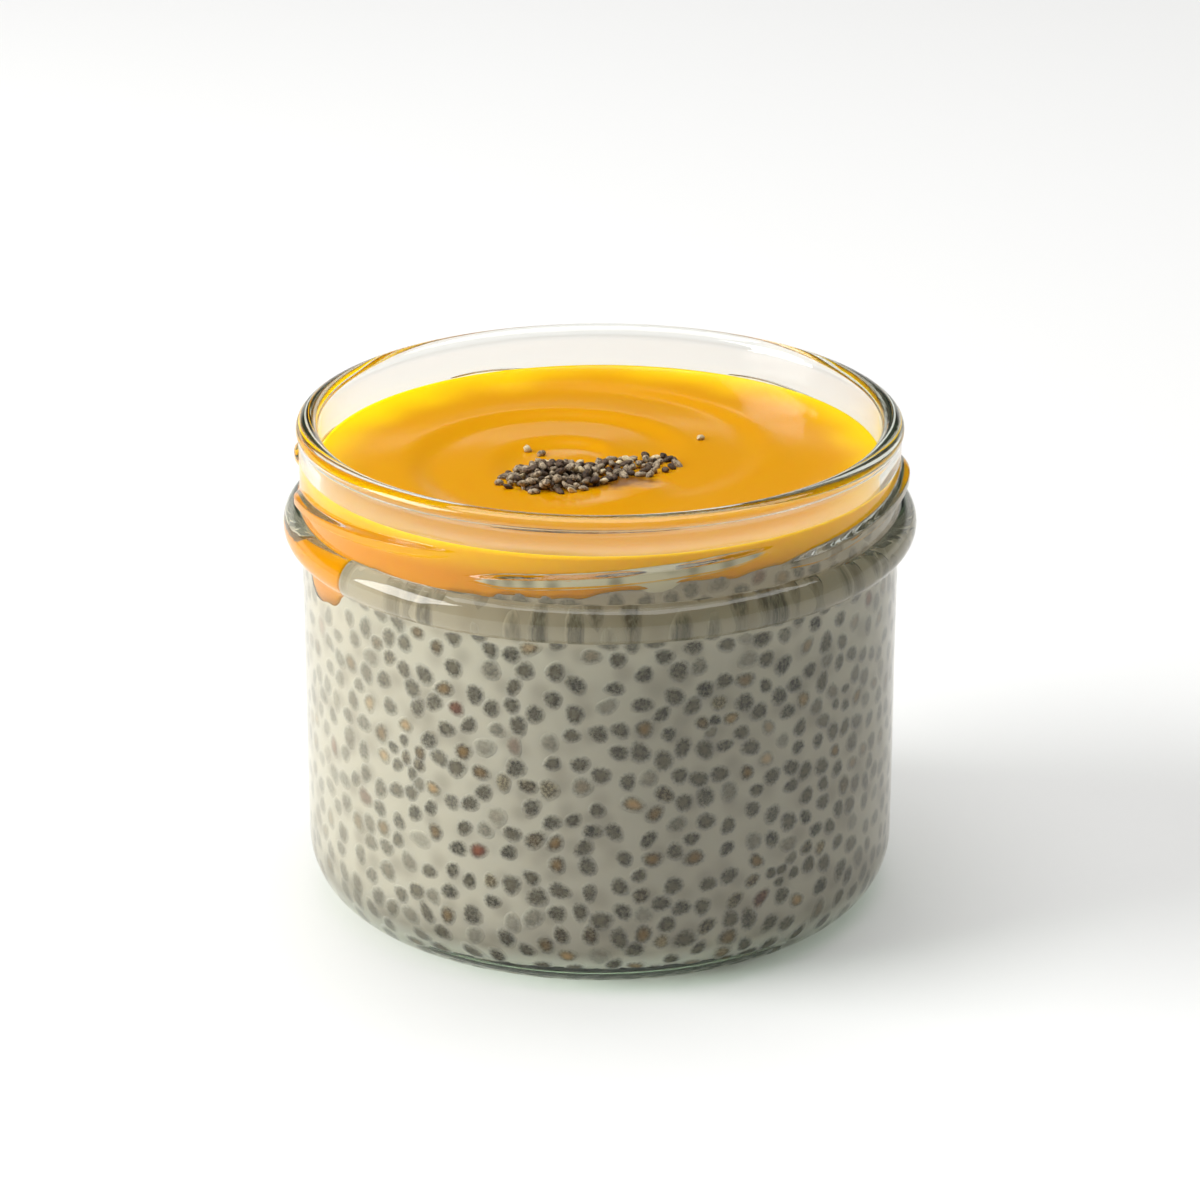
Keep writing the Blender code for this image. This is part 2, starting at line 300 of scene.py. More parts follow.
def jar_outline():
    """Half section of the jar as arrays of radius and height, without its two ends on the axis."""
    foot_outer = BODY_RADIUS - HEEL_WIDTH
    ring_middle = RING_RADIUS - RING_ROUND
    ring_low = -math.degrees(math.acos((BODY_RADIUS - ring_middle) / RING_ROUND))
    ring_high = math.degrees(math.acos((NECK_RADIUS - ring_middle) / RING_ROUND))
    rim_half = (RIM_RADIUS - BORE_RADIUS) / 2
    rim_middle = (BORE_RADIUS + rim_half, RIM_TOP - RIM_ROUND)
    corner = (BORE_RADIUS - FLOOR_CORNER, FLOOR_HEIGHT + FLOOR_CORNER)
    ring_top = RING_HEIGHT + RING_ROUND * math.sin(math.radians(ring_high))
    shares = np.linspace(0.1, 1, 12)
    outline = [(FOOT_INNER_RADIUS * share, BASE_HOLLOW * (1 - share**2)) for share in shares]
    outline += arc((foot_outer, HEEL_HEIGHT), (HEEL_WIDTH, HEEL_HEIGHT), -90, 0, 20)
    outline += [(BODY_RADIUS, height) for height in np.linspace(HEEL_HEIGHT, BODY_TOP, 45)[1:]]
    outline += arc((ring_middle, RING_HEIGHT), (RING_ROUND, RING_ROUND), ring_low, ring_high, 28)
    outline += [(NECK_RADIUS, height) for height in np.linspace(ring_top, THREAD_TOP, 84)[1:]]
    outline += [(NECK_RADIUS, height) for height in np.linspace(THREAD_TOP, LEDGE_HEIGHT, 4)[1:]]
    outline += arc(rim_middle, (rim_half, RIM_ROUND), -20, 180, 28)
    wall = np.linspace(rim_middle[1], corner[1], 40)[1:-1]
    outline += [(BORE_RADIUS, height) for height in wall]
    outline += arc(corner, (FLOOR_CORNER, FLOOR_CORNER), 0, -90, 14)
    inward = np.linspace(1, 0.1, 8)[1:]
    outline += [
        (corner[0] * share, FLOOR_HEIGHT + FLOOR_CROWN * (1 - share**2)) for share in inward
    ]
    return np.array(outline)


def build_jar():
    """The jar's skin, with its lugs and the marks of its mould."""
    outline = jar_outline()
    radii = np.repeat(outline[:, :1], JAR_COLUMNS, axis=1)
    heights = outline[:, 1:]
    azimuths = np.arange(JAR_COLUMNS) * 360 / JAR_COLUMNS
    outside = np.arange(len(outline)) < np.argmax(outline[:, 1])
    neck = outside & (outline[:, 1] > RING_HEIGHT) & (outline[:, 1] < LEDGE_HEIGHT)
    body = outside & (outline[:, 1] > HEEL_HEIGHT) & (outline[:, 1] < BODY_TOP)
    radii[neck] += lug_relief(azimuths, heights[neck])
    turn = np.radians(azimuths)
    steep, slack = (heights / rise for rise in WAVER_RISES)
    waver = np.sin(3 * turn + steep) * np.sin(5 * turn - slack + 1)
    radii[body] += WALL_WAVER * waver[body]
    seam = np.abs((azimuths - SEAM_AZIMUTH + 90) % 180 - 90) < 180 / JAR_COLUMNS
    radii[np.ix_(body, seam)] += SEAM_RELIEF
    mould_line = body & (np.abs(outline[:, 1] - MOULD_LINE_HEIGHT) < MOULD_LINE_HALF_WIDTH)
    radii[mould_line] += MOULD_LINE_RELIEF
    grid = round_grid(radii, heights, JAR_COLUMNS)
    under = (0, 0, BASE_HOLLOW)
    floor = (0, 0, FLOOR_HEIGHT + FLOOR_CROWN)
    return skin("glass_jar_fine", grid, under, floor, glass)


jar = build_jar()
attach(jar, "root")
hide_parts("glass_jar")
print("jar faces:", len(jar.data.polygons))

# %% [markdown]
# ## Where the food touches the glass
# Pudding wets the wall, so no air shows between them. The food is therefore made a hair larger
# than the bore, and its skin lies just inside the glass. Mango and pudding meet at a seam that
# wanders up and down the wall, as they do when one is spooned onto the other.

# %% Work out the seam between pudding and mango
WETTING = 0.06 * MM
SOLID_GAP = 0.32 * MM
FOOD_RADIUS = BORE_RADIUS - SOLID_GAP
SEAM_LEVEL = 54.0 * MM
SEAM_SLANT = 2.5 * MM
SEAM_RIPPLE = 0.12 * MM
LOBE = (-116.0, -52.0, 12.0)
DRIP = (-79.0, -54.0, 7.0)
LOBE_DEPTH = 3.7 * MM


def plateau(azimuth, first, last, taper):
    """1 between two azimuths and 0 outside them, with tapered ends."""
    return ease((azimuth - first) / taper) * ease((last - azimuth) / taper)


def seam_height(x, y):
    """Height of the seam: it rises to the right, and hangs in a lobe with a drip at the left."""
    turn = np.arctan2(x, -y)
    azimuth = np.degrees(turn)
    wave = 0.3 * np.sin(5 * turn + 0.5) + 0.25 * np.sin(11 * turn - 0.7)
    ripple = np.sin(23 * turn + 1) + np.sin(37 * turn) + 0.6 * np.sin(61 * turn + 2)
    lobe = plateau(azimuth, *LOBE) + plateau(azimuth, *DRIP)
    near_wall = ease(np.hypot(x, y) / FOOD_RADIUS)
    uneven = SEAM_SLANT * np.sin(turn) + wave * MM + SEAM_RIPPLE * ripple - LOBE_DEPTH * lobe
    return SEAM_LEVEL + near_wall * uneven


print(f"seam at the front {1000 * float(seam_height(0.0, -BORE_RADIUS)):.1f} mm up")

# %% [markdown]
# The spoon also dragged a streak of pudding along the front of the wall. It lies behind the front
# lug and shows mostly through it, and at one place a lump of it joins the streak to the seam. Its
# heights are measured from the middle of that lug.

# %% Work out the streak of pudding on the wall
STREAK = (-25.0, 33.0, 7.0)
STREAK_LUMP = (4.0, 18.0, 6.0)
STREAK_TIPS = 0.7 * MM
STREAK_LOW = 1.65 * MM
STREAK_WOBBLE = 0.12 * MM
LUMP_LOW = 3.5 * MM
LUMP_HIGH = 1.1 * MM


def streak_limits(azimuth):
    """Lower and upper height of the streak, which follows the lug in front of it."""
    along = (azimuth - LUG_START) / (LUG_END - LUG_START)
    lug_middle = LUG_START_HEIGHT + (LUG_END_HEIGHT - LUG_START_HEIGHT) * along
    body = plateau(azimuth, *STREAK)
    lump = plateau(azimuth, *STREAK_LUMP)
    wobble = STREAK_WOBBLE * np.sin(np.radians(17 * azimuth)) * body
    tips = lug_middle - STREAK_TIPS + wobble
    low = tips - (STREAK_LOW - STREAK_TIPS) * body - (LUMP_LOW - STREAK_LOW) * lump
    high = tips + STREAK_TIPS * body + LUMP_HIGH * lump
    return low, high


print("streak at the front", [round(1000 * float(end), 1) for end in streak_limits(0.0)], "mm up")

# %% [markdown]
# ## Pudding
# Between the seeds is plant milk set to a soft jelly: off-white, moist and a little see-through,
# so light goes a millimetre in and comes out soft. Deeper seeds show through it as faint smudges
# about a seed's spacing apart, which a blurred cell pattern gives. Mango has stained its top. Low
# down on the jar's floor the milk is painted paler: painted light where little light reaches.
#
# Against glass the jelly has no shine of its own. Its IOR is lower than the glass's, so it
# mirrors light that comes along the wall at a slant, though never quite perfectly. Close to the
# floor the uneven seeds would break that mirror up, and it is left out.

# %% Make the milk jelly finish
JELLY_IOR = 1.35
JELLY_ROUGHNESS = 0.5
JELLY_SCATTER = 0.25
JELLY_DEPTH = 1.0 * MM
JELLY_REACH = (1.0, 0.85, 0.6)
MILK = "cac2b3"
MILK_SHADOW = "a3998a"
MILK_STAINED = "a08f76"
# The palest milk is painted light: it brightens the bottom of the pudding, where little light
# reaches.
MILK_PAINTED_LIGHT = "f2eee4"
STAINED_FROM = 45.5 * MM
STAINED_FULL = 50.5 * MM
STAINED_SHARE = 0.75
PAINTED_LIGHT_FULL = 3.4 * MM
PAINTED_LIGHT_TOP = 5.0 * MM
SEED_SPACING = 3.3 * MM
SMUDGE_BLUR = 0.7
SMUDGE_CORE = 0.1
SMUDGE_RIM = 0.6
SMUDGE_SHARE = 0.6
MIRROR_FROM = 7.0 * MM
MIRROR_FULL = 14.0 * MM
MIRROR_SHARE = 0.76
MIRROR_ROUGHNESS = 0.05


def smudged_milk(tree, place, milk, shadow, spacing):
    """Milk with the faint smudges of seeds that lie deeper, one to each spacing."""
    cells = {"Vector": place, "Scale": 1 / spacing, "Smoothness": SMUDGE_BLUR}
    smudges = node(tree, "TexVoronoi", cells, feature="SMOOTH_F1")
    fade = {0: smudges, 1: SMUDGE_CORE, 2: SMUDGE_RIM, 3: SMUDGE_SHARE, 4: 0.0}
    deep = node(tree, "MapRange", fade, **SMOOTH)
    mixed = node(tree, "Mix", {0: deep, 6: linear(milk), 7: linear(shadow)}, **IN_COLOUR)
    return mixed.outputs[2]


def milk_colour(tree, place):
    """The pudding's milk: stained near the mango, and painted paler low down, as painted light."""
    height = node(tree, "SeparateXYZ", {0: place}).outputs[2]
    under = node(tree, "MapRange", {0: height, 1: PAINTED_LIGHT_FULL, 2: PAINTED_LIGHT_TOP, 3: 1.0, 4: 0.0})
    clean = smudged_milk(tree, place, MILK, MILK_SHADOW, SEED_SPACING)
    with_painted_light = node(tree, "Mix", {0: under, 6: clean, 7: linear(MILK_PAINTED_LIGHT)}, **IN_COLOUR)
    near_mango = {0: height, 1: STAINED_FROM, 2: STAINED_FULL, 4: STAINED_SHARE}
    stained = node(tree, "MapRange", near_mango, **SMOOTH)
    sides = {0: stained, 6: with_painted_light.outputs[2], 7: linear(MILK_STAINED)}
    return node(tree, "Mix", sides, **IN_COLOUR).outputs[2]


def finish_behind_glass(tree, shader, ior):
    """Food that wets the glass has no shine face on, but mirrors most light at a slant."""
    shader.inputs["Specular IOR Level"].default_value = 0.0
    slant = node(tree, "Fresnel", {"IOR": ior / GLASS_IOR})
    height = node(tree, "SeparateXYZ", {0: node(tree, "TexCoord").outputs["Object"]}).outputs[2]
    above_floor = {0: height, 1: MIRROR_FROM, 2: MIRROR_FULL, 4: MIRROR_SHARE}
    most = node(tree, "MapRange", above_floor)
    share = node(tree, "Math", {0: slant, 1: most}, operation="MULTIPLY")
    mirror = node(tree, "BsdfAnisotropic", {"Roughness": MIRROR_ROUGHNESS})
    surface = node(tree, "MixShader", {0: share, 1: shader, 2: mirror})
    node(tree, "OutputMaterial", {"Surface": surface})


def finish_as_jelly(tree, colour):
    """Jelly lets light a little way in, which softens the shading."""
    settings = {
        "Base Color": colour,
        "Roughness": JELLY_ROUGHNESS,
        "Subsurface Weight": JELLY_SCATTER,
        "Subsurface Radius": JELLY_REACH,
        "Subsurface Scale": JELLY_DEPTH,
    }
    shader = node(tree, "BsdfPrincipled", settings)
    finish_behind_glass(tree, shader, JELLY_IOR)


milk_jelly, tree = new_finish("plant milk, set to a soft jelly")
finish_as_jelly(tree, milk_colour(tree, node(tree, "TexCoord").outputs["Object"]))
print("milk", MILK)

# %% [markdown]
# The pudding is turned from the bore's own curve. It reaches further into the thick floor than
# into the wall, because a thin lap there leaves a dark, crinkled line of mirrored room round the
# base, where the eye looks through the rounded heel.

# %% Build the body of the pudding
FOOD_COLUMNS = 256
FLOOR_LAP = 1.2 * MM
FLOOR_SHARES = (0.2, 0.5, 0.8)
WALL_TOP = 50 * MM
SEAM_LIP = 0.5 * MM
TOP_SHARES = (1, 0.95, 0.8, 0.6, 0.4, 0.2)


def build_pudding():
    """The milk from the jar's floor to the seam, with its wall drawn up to meet the seam."""
    corner = (BORE_RADIUS - FLOOR_CORNER, FLOOR_HEIGHT + FLOOR_CORNER)
    reach = FLOOR_CORNER + WETTING
    low = FLOOR_HEIGHT + FLOOR_CROWN - FLOOR_LAP
    outline = [(corner[0] * share, low - FLOOR_CROWN * share**2) for share in FLOOR_SHARES]
    outline += arc(corner, (reach, FLOOR_CORNER + FLOOR_LAP), -90, 0, 12)
    wall = BORE_RADIUS + WETTING
    outline += [(wall, height) for height in np.linspace(corner[1], WALL_TOP, 30)[1:]]
    outline += [(wall * share, SEAM_LEVEL) for share in TOP_SHARES]
    outline = np.array(outline)
    grid = round_grid(outline[:, :1], outline[:, 1:], FOOD_COLUMNS)
    top = outline[:, 1] > WALL_TOP + SEAM_LIP
    grid[top, :, 2] = seam_height(grid[top, :, 0], grid[top, :, 1])
    upright = (outline[:, 0] == wall) & ~top
    share = ((outline[upright, 1] - corner[1]) / (WALL_TOP - corner[1]))[:, None]
    at_wall = grid[-len(TOP_SHARES)]
    lip = seam_height(at_wall[:, 0], at_wall[:, 1]) - SEAM_LIP
    grid[upright, :, 2] = corner[1] + share * (lip - corner[1])
    return skin("pudding_milk", grid, (0, 0, low), (0, 0, SEAM_LEVEL), milk_jelly)


pudding = build_pudding()
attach(pudding, "root")
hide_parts("chia_pudding")
print("pudding faces:", len(pudding.data.polygons))

# %% [markdown]
# The streak is the same pudding, smeared so thin that its seeds lie right at the glass. They show
# as darker smudges, closer together, so it has a finish of its own.

# %% Build the streak
STREAK_MILK = "d2c5a7"
STREAK_SHADOW = "665c4b"
STREAK_SPACING = 2.3 * MM
STREAK_COLUMNS = 120
STREAK_ROWS = 9
STREAK_THICKNESS = 0.05 * MM


def build_streak():
    """A thin lens of pudding that lies on the wall, its rim sunk in the mango behind it."""
    azimuths = np.linspace(STREAK[0], STREAK[1], STREAK_COLUMNS)
    low, high = streak_limits(azimuths)
    share = np.linspace(0, 1, STREAK_ROWS)[:, None]
    heights = low + share * (high - low)
    bulge = 1 - (2 * share - 1) ** 4 + 0 * azimuths
    wall = BORE_RADIUS + WETTING + STREAK_THICKNESS
    front = wall - 2 * STREAK_THICKNESS * (1 - bulge)
    turn = np.radians(azimuths)
    sheets = [
        np.stack([radii * np.sin(turn), -radii * np.cos(turn), heights], axis=2).reshape(-1, 3)
        for radii in (front, front - 4 * STREAK_THICKNESS)
    ]
    count = STREAK_ROWS * STREAK_COLUMNS
    corners = np.arange(count).reshape(STREAK_ROWS, STREAK_COLUMNS)
    sides = (corners[:-1, :-1], corners[:-1, 1:], corners[1:, 1:], corners[1:, :-1])
    quads = np.stack(sides, axis=2).reshape(-1, 4)
    rim = [*corners[0], *corners[1:, -1], *corners[-1, -2::-1], *corners[-2::-1, 0]]
    here, after = np.array(rim[:-1]), np.array(rim[1:])
    edge = np.stack([after, here, count + here, count + after], axis=1)
    faces = np.vstack([quads, count + quads[:, ::-1], edge]).tolist()
    return mesh_object("pudding_streak", np.vstack(sheets).tolist(), faces, streak_jelly)


streak_jelly, tree = new_finish("plant milk jelly, smeared thin on glass")
streak_place = node(tree, "TexCoord").outputs["Object"]
streak_milk = smudged_milk(tree, streak_place, STREAK_MILK, STREAK_SHADOW, STREAK_SPACING)
finish_as_jelly(tree, streak_milk)
streak = build_streak()
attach(streak, "root")
print("streak faces:", len(streak.data.polygons))

# %% [markdown]
# ## Places of the soaked seeds
# In the jelly each seed holds its neighbours off by its own coat of gel, so the seeds are spread
# evenly but in no pattern. Throwing darts and keeping those that land clear of the rest gives
# just that. A few knots have small seeds packed tighter, as where a lump wasn't stirred out. The
# darts land on one curve, across the floor, round its corner and up the wall.

# %% Follow the bore from the middle of the floor up the wall
corner_start = BORE_RADIUS - FLOOR_CORNER
corner_length = FLOOR_CORNER * math.pi / 2
wall_length = 51.5 * MM
bore_length = corner_start + corner_length + wall_length


def on_bore(lengths, turns, outwards=0.0):
    """Points at lengths along the bore from the floor's middle, moved outwards into the glass."""
    angle = np.clip((lengths - corner_start) / FLOOR_CORNER, 0, math.pi / 2) - math.pi / 2
    inward = np.minimum(lengths - corner_start, 0)
    up_wall = np.maximum(lengths - corner_start - corner_length, 0)
    crown = FLOOR_CROWN * (1 - np.clip(lengths / corner_start, 0, 1) ** 2)
    reach = FLOOR_CORNER + outwards
    radius = corner_start + inward + reach * np.cos(angle)
    height = FLOOR_HEIGHT + FLOOR_CORNER + up_wall + crown + (reach + FLOOR_LAP) * np.sin(angle)
    return np.stack([radius * np.sin(turns), -radius * np.cos(turns), height], axis=-1)


print(f"bore {1000 * bore_length:.1f} mm from the floor's middle to above the seam")

# %% Throw the seeds onto the wall and floor
SEED_CLEARANCE = 2.5 * MM
KNOT_CLEARANCE = 0.62
SEAM_CLEARANCE = 0.8 * MM
KNOTS = ((-39, 28, 5.0), (55, 33, 4.0), (38, 13, 3.6), (21, 36, 2.6), (130, 25, 5), (-140, 18, 5))
DART_COUNT = 60000


def throw_seeds():
    """Lengths along the bore, turns and room factors of the seeds that touch the glass."""
    draw = np.random.default_rng(11)
    lengths = draw.uniform(0, bore_length, DART_COUNT)
    turns = draw.uniform(-math.pi, math.pi, DART_COUNT)
    points = on_bore(lengths, turns)
    radius = np.hypot(points[:, 0], points[:, 1])
    keep = draw.uniform(0, BORE_RADIUS, DART_COUNT) < radius
    keep &= points[:, 2] < seam_height(points[:, 0], points[:, 1]) - SEAM_CLEARANCE
    lengths, turns, points = lengths[keep], turns[keep], points[keep]
    room = np.ones(len(points))
    for azimuth, height, reach in KNOTS:
        turn = math.radians(azimuth)
        middle = (BORE_RADIUS * math.sin(turn), -BORE_RADIUS * math.cos(turn), height * MM)
        distance = np.linalg.norm(points - middle, axis=1) / (reach * MM)
        room = np.minimum(room, KNOT_CLEARANCE + (1 - KNOT_CLEARANCE) * ease(2 * distance - 1))
    chosen = []
    for dart in range(len(points)):
        gaps = np.linalg.norm(points[chosen] - points[dart], axis=1)
        if (gaps > SEED_CLEARANCE * (room[chosen] + room[dart]) / 2).all():
            chosen.append(dart)
    return lengths[chosen], turns[chosen], room[chosen]


seed_lengths, seed_turns, seed_room = throw_seeds()
print("soaked seeds against the glass:", len(seed_lengths))

# %% [markdown]
# ## Soaked seeds
# A soaked chia seed is a grey-brown oval a little over 2 mm long in a coat of gel, and it looks
# blurred because milk lies between most of it and the glass. Seed and gel are modelled together,
# as a pebble with a flat front that follows the wall and a round back inside the milk. Every
# point stores how far out it is from the seed's middle, and the finish fades from seed to milk by
# that share, which gives the soft edge. Some lie deeper than others, so each seed has its own
# paleness too. Towards the left and right sides the seeds are painted paler still: a painted
# reflection of the bright room that the glass shows there at a slant.

# %% Shape one soaked seed
GEL_HALF_LENGTH = 1.8 * MM
GEL_HALF_WIDTH = 1.62 * MM
GEL_DEPTH = 0.7 * MM
GEL_FRONT = 0.1 * MM
GEL_RIM = 0.15
FRONT_SHARES = (0.3, 0.5, 0.68, 0.85)
BACK_SHARES = (1.0, 0.6)
SEED_COLUMNS = 12


def pebble():
    """Rows of a flat-fronted pebble: share of its half size, and depth, from front to back."""
    rows = [(share, GEL_FRONT * (1 - share**2) ** 2) for share in FRONT_SHARES]
    rows += [(share, -GEL_DEPTH * (1 + GEL_RIM - share)) for share in BACK_SHARES]
    return np.array(rows), GEL_FRONT, -GEL_DEPTH


def many_shells(rows, columns, count):
    """Faces of count shells whose rows run the other way round, so that all face outwards."""
    faces = [face[:1] + face[:0:-1] for face in shell_faces(rows, columns)]
    starts = range(0, count * (rows * columns + 2), rows * columns + 2)
    return [[start + corner for corner in face] for start in starts for face in faces]


print(f"seed in its gel {2000 * GEL_HALF_LENGTH:.1f} x {2000 * GEL_HALF_WIDTH:.1f} mm")

# %% Say how deep each seed lies in the milk
# The two sides fade the seeds as painted reflection: the bright room's glare on the glass, painted
# into their colour.
LEFT_GLARE = (-125.0, -25.0, 45.0)
LEFT_GLARE_SHARE = 0.55
RIGHT_GLARE = (45.0, 130.0, 25.0)
RIGHT_GLARE_SHARE = 0.35
DEEP_ODDS = 0.15
DEEP_SUNK = 0.5
SEAM_SUNK = 0.3


def seed_sunk_and_glare(lengths, turns, draw):
    """Share of each seed faded to milk: painted glare at both sides, and milk near the mango and here
    and there.
    """
    azimuths = np.degrees(turns)
    sides = LEFT_GLARE_SHARE * plateau(azimuths, *LEFT_GLARE) + RIGHT_GLARE_SHARE * plateau(azimuths, *RIGHT_GLARE)
    heights = on_bore(lengths, turns)[..., 2]
    near_top = SEAM_SUNK * ease((heights - STAINED_FROM) / (STAINED_FULL - STAINED_FROM))
    chance = draw.uniform(0, 1, lengths.shape)
    deep = DEEP_SUNK * np.maximum(chance - 1 + DEEP_ODDS, 0) / DEEP_ODDS
    return 1 - (1 - sides) * (1 - near_top) * (1 - deep)


print(f"{100 * DEEP_ODDS:.0f} in 100 seeds lie deeper than the rest")

# %% Lay soaked seeds on the bore
KNOT_SEED_SIZE = 0.35
SIZE_SPREAD = (0.86, 1.08)
LENGTH_SPREAD = (0.92, 1.12)
WIDTH_SPREAD = (0.85, 1.05)
SEED_LUMPS = {3: 0.06, 2: 0.05}
LEAST_RADIUS = 2 * MM
STORED = ("from_middle", "heart", "sunk_and_glare")


def soaked_seeds(name, chosen, material, draw):
    """One mesh with a soaked seed at each chosen place."""
    rows, front, back = pebble()
    shares = np.append(np.repeat(rows[:, 0], SEED_COLUMNS), (0, 0))
    depths = np.append(np.repeat(rows[:, 1], SEED_COLUMNS), (front, back))
    around = np.append(np.tile(np.arange(SEED_COLUMNS) * math.tau / SEED_COLUMNS, len(rows)), (0, 0))
    count = len(chosen)
    spin = draw.uniform(0, math.pi, (count, 1))
    size = KNOT_SEED_SIZE + (1 - KNOT_SEED_SIZE) * seed_room[chosen, None]
    size = size * draw.uniform(*SIZE_SPREAD, (count, 1))
    long_side = GEL_HALF_LENGTH * size * draw.uniform(*LENGTH_SPREAD, (count, 1))
    short_side = GEL_HALF_WIDTH * size * draw.uniform(*WIDTH_SPREAD, (count, 1))
    lumps = 1
    for corners, height in SEED_LUMPS.items():
        lumps = lumps + height * np.sin(corners * around + draw.uniform(0, 6, (count, 1)))
    x = long_side * shares * lumps * np.cos(around)
    y = short_side * shares * lumps * np.sin(around)
    across = x * np.cos(spin) - y * np.sin(spin)
    along = x * np.sin(spin) + y * np.cos(spin)
    lengths = seed_lengths[chosen, None] + along
    reach = np.linalg.norm(on_bore(lengths, 0 * lengths)[..., :2], axis=-1)
    radius = np.maximum(reach, LEAST_RADIUS)
    points = on_bore(lengths, seed_turns[chosen, None] + across / radius, WETTING + depths)
    faces = many_shells(len(rows), SEED_COLUMNS, count)
    piece = mesh_object(name, points.reshape(-1, 3).tolist(), faces, material)
    hearts = draw.uniform(0, 1, (count, 1))
    sunk_and_glare = seed_sunk_and_glare(seed_lengths[chosen, None], seed_turns[chosen, None], draw)
    for label, values in zip(STORED, (shares, hearts, sunk_and_glare)):
        values = np.broadcast_to(values, points.shape[:2]).astype(np.float32)
        layer = piece.data.attributes.new(label, "FLOAT", "POINT")
        layer.data.foreach_set("value", values.ravel())
    return piece


print("soaked seeds follow the bore")

# %% [markdown]
# Under the coat of gel the husk is mottled: dark grey-brown with paler veins, and in some seeds a
# lighter, redder or creamy heart. Each kind gets the same finish with its own three colours.

# %% Make the finishes of the soaked seeds
SOAKED_KINDS = {
    "grey": (0.775, "37332a", "7c7666", "746a56"),
    "brown": (0.15, "3c362a", "857b66", "92703f"),
    "rust": (0.015, "4c3426", "80604c", "8c4420"),
    "cream": (0.06, "5c5342", "a09478", "c8a070"),
}
MOTTLE_SIZE = 0.42 * MM
VEINS = (0.42, 0.62)
HEART = (0.15, 0.6)
HEART_SHARE = 0.9
RAGGED_EDGE = 0.4
EDGE_FADE = (0.55, 1.14)


def soaked_finish(kind, dark, light, heart):
    """Seed husk that fades to milk towards its edge."""
    material, tree = new_finish(f"soaked chia seed in milk jelly, {kind}")
    stored = [node(tree, "Attribute", attribute_name=label).outputs["Fac"] for label in STORED]
    share, heart_odds, sunk_and_glare = stored
    place = node(tree, "TexCoord").outputs["Object"]
    grain = {"Vector": place, "Scale": 1 / MOTTLE_SIZE, "Detail": 4.0, "Roughness": 0.7}
    mottle = node(tree, "TexNoise", grain)
    veins = node(tree, "MapRange", {0: mottle, 1: VEINS[0], 2: VEINS[1]})
    husk = node(tree, "Mix", {0: veins, 6: linear(dark), 7: linear(light)}, **IN_COLOUR)
    middle = node(tree, "MapRange", {0: share, 1: HEART[0], 2: HEART[1], 3: HEART_SHARE, 4: 0.0})
    inner = node(tree, "Math", {0: middle, 1: heart_odds}, operation="MULTIPLY")
    seed = node(tree, "Mix", {0: inner, 6: husk.outputs[2], 7: linear(heart)}, **IN_COLOUR)
    ragged = node(tree, "Math", {0: mottle, 1: RAGGED_EDGE, 2: share}, operation="MULTIPLY_ADD")
    fade = {0: ragged, 1: EDGE_FADE[0], 2: EDGE_FADE[1], 3: 1.0, 4: 0.0}
    edge = node(tree, "MapRange", fade, **SMOOTH)
    bare = node(tree, "Math", {0: 1.0, 1: sunk_and_glare}, operation="SUBTRACT")
    shown = node(tree, "Math", {0: edge, 1: bare}, operation="MULTIPLY")
    milk = milk_colour(tree, place)
    colour = node(tree, "Mix", {0: shown, 6: milk, 7: seed.outputs[2]}, **IN_COLOUR)
    finish_as_jelly(tree, colour.outputs[2])
    return material


def build_soaked_seeds():
    """One piece for each kind of soaked seed, by the kinds' odds."""
    draw = np.random.default_rng(5)
    odds = [row[0] for row in SOAKED_KINDS.values()]
    picks = draw.choice(len(odds), len(seed_lengths), p=odds)
    for index, (kind, (_, *colours)) in enumerate(SOAKED_KINDS.items()):
        chosen = np.flatnonzero(picks == index)
        piece = soaked_seeds(f"soaked_seeds_{kind}", chosen, soaked_finish(kind, *colours), draw)
        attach(piece, "root")
        print(piece.name, len(chosen), "seeds,", len(piece.data.polygons), "faces")


build_soaked_seeds()

# %% [markdown]
# ## Mango puree
# Sieved mango is a thick, smooth, wet puree of a strong yellow-orange. Where it thins out against
# the glass light gets in from the side and turns it yellow, most of all at the back. That yellow,
# at the rim of its face and towards the top of its side, is painted light: a painted glow in its
# colour. The back of a spoon leaves a shallow spiral in its face, and it climbs the glass a little
# at the edge. The spiral is real relief, because its soft ridges catch the light.

# %% Make the puree finishes
MANGO = "d79400"
# The glow colours are painted light: the yellow of light shining through thin puree, most at the
# back.
MANGO_GLOW_FRONT = "d8a000"
MANGO_GLOW_BACK = "f8cc00"
MANGO_SIDE = "de8e00"
MANGO_SIDE_GLOW = "f2b800"
MANGO_BROWN_PATCH = "6a3e10"
PUREE_IOR = 1.38
PUREE_ROUGHNESS = 0.16
PUREE_SCATTER = 0.4
PUREE_DEPTH = 2.5 * MM
PUREE_REACH = (1.0, 0.5, 0.05)
# The mango turns brown in a patch at the heap's front right.
BROWN_PATCH_CENTRE = (2.2 * MM, -5.4 * MM, 57.0 * MM)
BROWN_PATCH_SCALE = (1 / (6.0 * MM), 1 / (4.0 * MM), 0.0)
BROWN_PATCH_MOTTLE = 2.5 * MM
BROWN_PATCH_EDGE = (0.85, 1.6)
BROWN_PATCH_SHARE = 0.9
EDGE_BAND = (34 * MM, 42 * MM)
EDGE_WANDER = 9 * MM
EDGE_WAVES = 14 * MM
BACK_BAND = (-20 * MM, 12 * MM)
SIDE_BAND = (54.5 * MM, 58.2 * MM)
GRAIN = 1.2 * MM
GRAIN_RELIEF = 0.05 * MM


